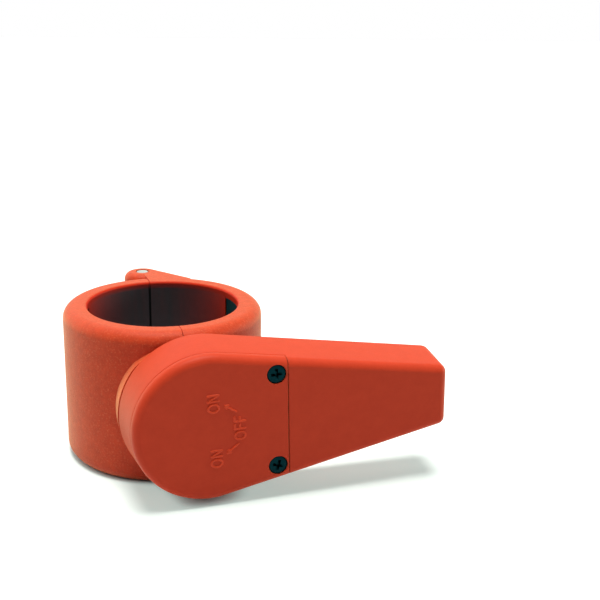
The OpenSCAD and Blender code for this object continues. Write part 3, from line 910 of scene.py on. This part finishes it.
def cover_outline(w):
    """Outline of the cover at height w."""
    low = quarter(w - COVER_FROM, SEAM_SOFT)
    inset = drawn_in(w) + low
    end = COVER_END - low - quarter(LEVER_T - w, COVER_SOFT)
    v = side_v(end, inset)
    return [(p, q, w) for p, q in head_arc(inset) + [(end, -v), (end, v)]]


cover_levels = [COVER_FROM + SEAM_SOFT * (1 - math.cos(a)) for a in SOFT_TURN]
cover_levels += [SIDE_W + EDGE_ROUND * math.sin(math.radians(a)) for a in range(0, 55, 9)]
cover_levels += [LEVER_T - COVER_SOFT * (1 - math.sin(math.radians(a)))
                 for a in (0, 22, 45, 65, 80, 90)]
lever_cover = loft("cover_moulding", [cover_outline(w) for w in cover_levels])
lip = loft("lip", [circle(r, w, centre=(HEAD_X, 0)) for r, w in
                   ((LIP_OUT, LIP_FROM), (LIP_OUT, COVER_FROM + LIP_INTO),
                    (LIP_IN, COVER_FROM + LIP_INTO), (LIP_IN, LIP_FROM))], joined=True)
combine(lever_cover, lip, "UNION")
for v in (-SCREW_V, SCREW_V):
    seat = loft("seat", [circle(r, w, SMALL_STEPS, (SCREW_U, v)) for r, w in
                         ((SHANK_R, SEAM_W - CUT_PAST), (SHANK_R, SEAT_W), (SEAT_R, SEAT_W),
                          (SEAT_R, LEVER_T - SEAT_EDGE), (SEAT_R + SEAT_FLARE, LEVER_T + HAIR),
                          (SEAT_R + SEAT_FLARE, LEVER_T + CUT_PAST))])
    combine(lever_cover, seat, "DIFFERENCE")
moved(lever_cover, ON_LEVER)
finish_piece(lever_cover, abs_satin, "lever", "red_plastic", "lever_cover")

# %% [markdown]
# ## The cover screws
# Two black screws with a flat, softly domed head and a cross recess hold the cover. The
# head and shank are a stack of circles. The recess of a cross-head driver tapers, so the
# cutter is two crossed wedges, narrower at the bottom. Nobody lines screws up, so the two
# crosses stand at different angles.

# %% Cover screws
HEAD_TOP = LEVER_T - 0.15
SCREW_HEAD_R, SCREW_HEAD_T, SCREW_R, SCREW_LEN = 2.97, 1.7, 1.45, 9.0
HEAD_SOFT = 0.45
CROSS_ANGLES = {SCREW_V: math.radians(3), -SCREW_V: math.radians(-17)}
# Half length, half width and height of a wing of the recess, from the bottom up.
CROSS_LEVELS = ((0.6, 0.25, SCREW_HEAD_T - 1.3), (1.85, 0.48, SCREW_HEAD_T),
                (2.2, 0.56, SCREW_HEAD_T + 0.4))
# Radius and height, from the point of the screw upwards.
screw_profile = [(0.2, -SCREW_LEN), (SCREW_R - 0.3, -SCREW_LEN + 0.5),
                 (SCREW_R, -SCREW_LEN + 2.0), (SCREW_R, 0.02),
                 (SCREW_HEAD_R - 0.1, 0.02), (SCREW_HEAD_R, 0.12)]
screw_profile += [(SCREW_HEAD_R - HEAD_SOFT + x, SCREW_HEAD_T - 0.6 + y * 0.9)
                  for x, y in arc((0, 0), HEAD_SOFT, 0, 75, 5)]
screw_profile += [(1.6, SCREW_HEAD_T - 0.06), (0.6, SCREW_HEAD_T)]


def cross_wing(turn):
    """One tapering wing of the cross recess."""
    wing = loft("wing", [[(-a, -b, w), (a, -b, w), (a, b, w), (-a, b, w)]
                         for a, b, w in CROSS_LEVELS])
    return moved(wing, Matrix.Rotation(turn, 4, "Z"))


cover_screws = None
for v, turn in CROSS_ANGLES.items():
    screw = loft("cover_screws_cross_head", [circle(r, w, SMALL_STEPS) for r, w in screw_profile])
    cutter = combine(cross_wing(turn), cross_wing(turn + math.pi / 2), "UNION")
    combine(screw, cutter, "DIFFERENCE")
    moved(screw, Matrix.Translation((SCREW_U, v, HEAD_TOP - SCREW_HEAD_T)))
    cover_screws = combine(cover_screws, screw, "UNION") if cover_screws else screw
moved(cover_screws, ON_LEVER)
finish_piece(cover_screws, black_steel, "lever", "black_steel", "cover_screws")

# %% [markdown]
# ## The raised marks
# The cover carries three raised words in an arc about the pivot, on at both ends of the
# turn and off between them, with two small arrows from off to on. They were cut into the
# tool with a ball-nosed cutter, so every stroke is a low round bead, polished smoother than
# the satin round it, and given a lighter colour as a painted highlight. Text objects have
# letters of other proportions and flat faces, so the strokes are lofted one by one:
# straight beads, and an oval one for the letter O.

# %% Raised strokes
STROKE_W, STROKE_H, STROKE_SINK = 0.72, 0.3, 0.1
STROKE_DROP, STROKE_DEEPER = 0.011, 0.017
BEAD = [math.radians(a) for a in range(0, 181, 20)]
BEAD_END = BEAD[1:len(BEAD) // 2 + 1]
OVAL_STEPS = 48


def bead(start, end, order=0, width=STROKE_W):
    """Straight raised stroke between two points, with round ends. Later strokes of a letter
    are a hair lower, so that no two skins lie in the same plane where they cross."""
    height, sink = STROKE_H - STROKE_DROP * order, STROKE_SINK + STROKE_DEEPER * order
    start, end = Vector(start), Vector(end)
    along = (end - start).normalized()
    across = Vector((-along.y, along.x))
    rings = []
    stations = [(start, -math.cos(a), math.sin(a)) for a in BEAD_END]
    stations += [(end, math.cos(a), math.sin(a)) for a in reversed(BEAD_END)]
    for point, reach, wide in stations:
        middle = point + along * (reach * width / 2)
        ring = [(middle + across * (width / 2 * wide * math.cos(a)), height * wide * math.sin(a))
                for a in BEAD]
        ring += [(ring[-1][0], -sink), (ring[0][0], -sink)]
        rings.append([(p.x, p.y, h) for p, h in ring])
    return loft("stroke", rings)


def bead_ring(centre, width, height):
    """Raised oval stroke of that outer width and height."""
    rings = []
    for k in range(OVAL_STEPS):
        turn = 2 * math.pi * k / OVAL_STEPS
        out = Vector((math.cos(turn), math.sin(turn)))
        reach = Vector(((width - STROKE_W) / 2 * out.x, (height - STROKE_W) / 2 * out.y))
        middle = Vector(centre) + reach
        ring = [(middle + out * (STROKE_W / 2 * math.cos(a)), STROKE_H * math.sin(a))
                for a in BEAD]
        ring += [(ring[-1][0], -STROKE_SINK), (ring[0][0], -STROKE_SINK)]
        rings.append([(p.x, p.y, h) for p, h in ring])
    return loft("stroke", rings, joined=True)


print("a stroke is", STROKE_W, "mm wide and", STROKE_H, "mm high")

# %% [markdown]
# ## Letters and arrows
# The letters are plain capitals of even strokes, as an engraver's pantograph cuts them, and
# an arrow is a shaft with two barbs. They could be drawn as curves and filled, but a letter
# of crossing beads, joined with unions, keeps the round tops. All the marks end up in one
# mesh, because they are one feature of the cover and ride with the lever.

# %% Letters, arrows and their places
CAP_H, LETTER_GAP = 3.95, 0.3
LETTER_W = {"O": 3.2, "N": 2.6, "F": 2.15}
F_BAR, F_SHORT = 0.05, 0.25
WORDS = (("ON", 5.1, 8.4), ("OFF", 13.05, -0.45), ("ON", 5.6, -9.6))
ARROWS = (((12.1, 5.0), (8.7, 7.4)), ((12.5, -5.5), (9.0, -8.2)))
ARROW_HEAD, ARROW_W = 0.72, 0.62
BARB_BACK, BARB_OUT = 1.2, 0.8


def letter(name, x):
    """One letter from its strokes, its left edge at x and its middle on the line."""
    low, high = -(CAP_H - STROKE_W) / 2, (CAP_H - STROKE_W) / 2
    left, right = x + STROKE_W / 2, x + LETTER_W[name] - STROKE_W / 2
    if name == "O":
        return bead_ring((x + LETTER_W["O"] / 2, 0), LETTER_W["O"], CAP_H)
    lines = {"N": (((left, low), (left, high)), ((left, high), (right, low)),
                   ((right, low), (right, high))),
             "F": (((left, low), (left, high)), ((left, high), (right, high)),
                   ((left, F_BAR), (right - F_SHORT, F_BAR)))}[name]
    made = bead(*lines[0])
    for order, line in enumerate(lines[1:], 1):
        combine(made, bead(*line, order), "UNION")
    return made


def word_marks(word, u, v):
    """The letters of a word, upright towards the head and centred on a place."""
    length = sum(LETTER_W[c] for c in word) + LETTER_GAP * (len(word) - 1)
    stand = Matrix.Translation((u, v, LEVER_T)) @ Matrix.Rotation(math.pi / 2, 4, "Z")
    x, made = -length / 2, []
    for c in word:
        made.append(moved(letter(c, x), stand))
        x += LETTER_W[c] + LETTER_GAP
    return made


def arrow_mark(tail, tip):
    """A raised arrow from tail to tip."""
    tail, tip = Vector(tail), Vector(tip)
    along = (tip - tail).normalized()
    across = Vector((-along.y, along.x)) * ARROW_HEAD
    made = bead(tail, tip, 0, ARROW_W)
    for order, side in enumerate((across, -across), 1):
        barb = tip - along * ARROW_HEAD * BARB_BACK + side * BARB_OUT
        combine(made, bead(barb, tip, order, ARROW_W), "UNION")
    return moved(made, Matrix.Translation((0, 0, LEVER_T)))


marks = [mark for w in WORDS for mark in word_marks(*w)] + [arrow_mark(*a) for a in ARROWS]
raised_marks = marks[0]
raised_marks.name = "raised_marks"
whole = bmesh.new()
for mark in marks:
    whole.from_mesh(mark.data)
whole.to_mesh(raised_marks.data)
whole.free()
for mark in marks[1:]:
    bpy.data.objects.remove(mark)
moved(raised_marks, ON_LEVER)
finish_piece(raised_marks, abs_marks_painted_light, "lever", "red_plastic")

# %% [markdown]
# ## The mechanism inside
# The cam plate, the pivot bolt with its washers, the bearings and the drive peg are
# machined parts whose CAD solids are already right. They stay as they are, out of sight
# in the head, and only get the finish of their real material.

# %% Finishes of the inner parts
INNER = {"pivot_insert": brass, "pivot_sleeve": brass, "thrust_washer": acetal,
         "pivot_bolt": zinc_steel, "pivot_washer": zinc_steel, "cam_plate": zinc_steel,
         "cam_screws": zinc_steel, "drive_peg": zinc_steel, "peg_bush": zinc_steel}
for name, material in INNER.items():
    nodes[name].data.materials.clear()
    nodes[name].data.materials.append(material)
print("finished", len(INNER), "inner parts")

# %% [markdown]
# ## Floor
# The collar stands on a white paper sweep. The white background is the floor's own pale
# colour, made up to white only for what the camera and reflections see, so it adds no
# light to the object and the shadow stays. The glow stands for the light of the room, so it
# is a little cool, and fades out under the ring and the lever, where the room is shut out.
# A real sweep curves up behind, but a flat floor that ends in a white world looks the same.

# %% Floor
FLOOR_SIZE = 3.0
FLOOR_GREY, FLOOR_GLOW = "#d2d7de", (0.33, 0.45, 0.42, 1.0)
FLOOR_GAP, SHUT_OUT = 0.05, 5.0

floor_mesh = bpy.data.meshes.new("floor")
floor_mesh.from_pydata([(x, y, -(HALF_H + FLOOR_GAP) * MM) for x, y in
                        ((-FLOOR_SIZE, -FLOOR_SIZE), (FLOOR_SIZE, -FLOOR_SIZE),
                         (FLOOR_SIZE, FLOOR_SIZE), (-FLOOR_SIZE, FLOOR_SIZE))], [], [(0, 1, 2, 3)])
floor = bpy.data.objects.new("floor", floor_mesh)
scene.collection.objects.link(floor)


def seen(tree):
    """1 for camera, glossy and transmission rays, otherwise 0."""
    path = add(tree, "ShaderNodeLightPath")
    either = add(tree, "ShaderNodeMath", {0: path.outputs["Is Camera Ray"],
                                          1: path.outputs["Is Glossy Ray"]}, operation="MAXIMUM")
    return add(tree, "ShaderNodeMath", {0: either.outputs[0],
                                        1: path.outputs["Is Transmission Ray"]},
               operation="MAXIMUM").outputs[0]


# Matt white paper: no gloss and no edge, only the soft shade of what stands on it.
sweep, tree, out = new_material("white_paper_sweep")
paper = add(tree, "ShaderNodeBsdfDiffuse", {"Color": linear(FLOOR_GREY)})
open_sky = add(tree, "ShaderNodeAmbientOcclusion", {"Distance": SHUT_OUT * MM}, samples=16)
room = add(tree, "ShaderNodeMapRange", {"Value": open_sky.outputs["AO"], "From Min": 0.15,
                                        "From Max": 0.6})
share = add(tree, "ShaderNodeMath", {0: seen(tree), 1: room.outputs["Result"]},
            operation="MULTIPLY")
glow = add(tree, "ShaderNodeEmission", {"Color": FLOOR_GLOW, "Strength": share.outputs[0]})
both = add(tree, "ShaderNodeAddShader", {0: paper.outputs[0], 1: glow.outputs[0]})
tree.links.new(both.outputs[0], out.inputs["Surface"])
floor_mesh.materials.append(sweep)
print("floor is", FLOOR_GAP, "mm below the ring")

# %% [markdown]
# ## Light
# One overhead softbox does most of the work: it lights all that faces up, and the paper
# throws it back on to the walls and the front. Weaker ones behind, to the left and to the
# right draw the far edges, the round of the wall and the end of the arm, and a faint even
# fill keeps the hollows from going black. Area lamps would fade towards the edge of the
# floor, so all four are suns, whose angle sets how soft they are, in a slightly warm white.
# Each has a strength, an angle in degrees and the direction that it stands in.

# %% Lamps and world
FILL = 0.03
LAMP_TINT = (1.0, 0.98, 0.86)
LAMPS = (("overhead_softbox", 4.2, 28, (0, 0.02, 1)),
         ("back_softbox", 0.6, 50, (-0.25, 1, 0.75)),
         ("left_softbox", 0.9, 50, (-1, 0.7, 0.45)),
         ("right_softbox", 1.2, 30, (1, -0.04, 0.15)))

world = bpy.data.worlds.new("studio")
world.use_nodes = True
tree = world.node_tree
tree.nodes.clear()
fill = add(tree, "ShaderNodeBackground", {"Color": (1, 1, 1, 1), "Strength": FILL})
white = add(tree, "ShaderNodeBackground", {"Color": (1, 1, 1, 1), "Strength": 1.0})
mix = add(tree, "ShaderNodeMixShader", {0: seen(tree), 1: fill.outputs[0], 2: white.outputs[0]})
add(tree, "ShaderNodeOutputWorld", {"Surface": mix.outputs[0]})
scene.world = world

for name, strength, angle, towards in LAMPS:
    lamp_data = bpy.data.lights.new(name, "SUN")
    lamp_data.energy, lamp_data.angle = strength, math.radians(angle)
    lamp_data.color = LAMP_TINT
    lamp = bpy.data.objects.new(name, lamp_data)
    scene.collection.objects.link(lamp)
    lamp.rotation_mode = "QUATERNION"
    lamp.rotation_quaternion = (-Vector(towards)).to_track_quat("-Z", "Y")
print("lamps:", [lamp[0] for lamp in LAMPS])
